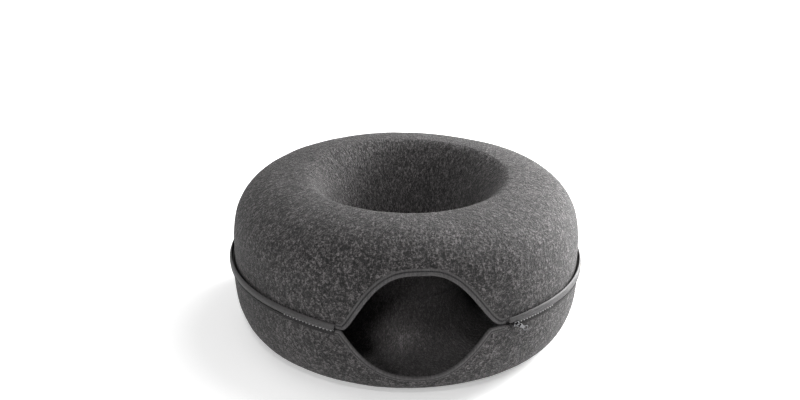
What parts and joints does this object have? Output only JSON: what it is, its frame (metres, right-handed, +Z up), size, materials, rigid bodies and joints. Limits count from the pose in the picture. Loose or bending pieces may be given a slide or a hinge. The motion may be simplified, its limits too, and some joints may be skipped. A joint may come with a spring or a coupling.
{
  "type": "felt cat cave",
  "caption": "Ring-shaped cat tunnel of two moulded felt shells, with an eye-shaped front opening, a funnel through the middle and a zip round the outside.",
  "frame": {"origin": "on the floor, under the middle of the ring", "axes": "+Z up through the central hole, -Y out of the eye-shaped opening, +X to the right of it"},
  "size_m": [0.6171, 0.6016, 0.2745],
  "materials": {
    "felt_charcoal": "moulded polyester felt, mottled charcoal grey, matt and slightly hairy",
    "tape_grey": "woven tape, dark grey, matt",
    "zip_nylon": "nylon coil, dark grey, faint sheen",
    "gunmetal": "dark grey metal, satin"
  },
  "bodies": {
    "root": {"top_shell": "felt_charcoal", "bottom_shell": "felt_charcoal", "binding_top": "tape_grey", "binding_bottom": "tape_grey", "zip_tape_upper": "tape_grey", "zip_tape_lower": "tape_grey", "zip_chain": "zip_nylon", "zip_slider": "gunmetal", "zip_pull": "gunmetal"}
  },
  "joints": []
}
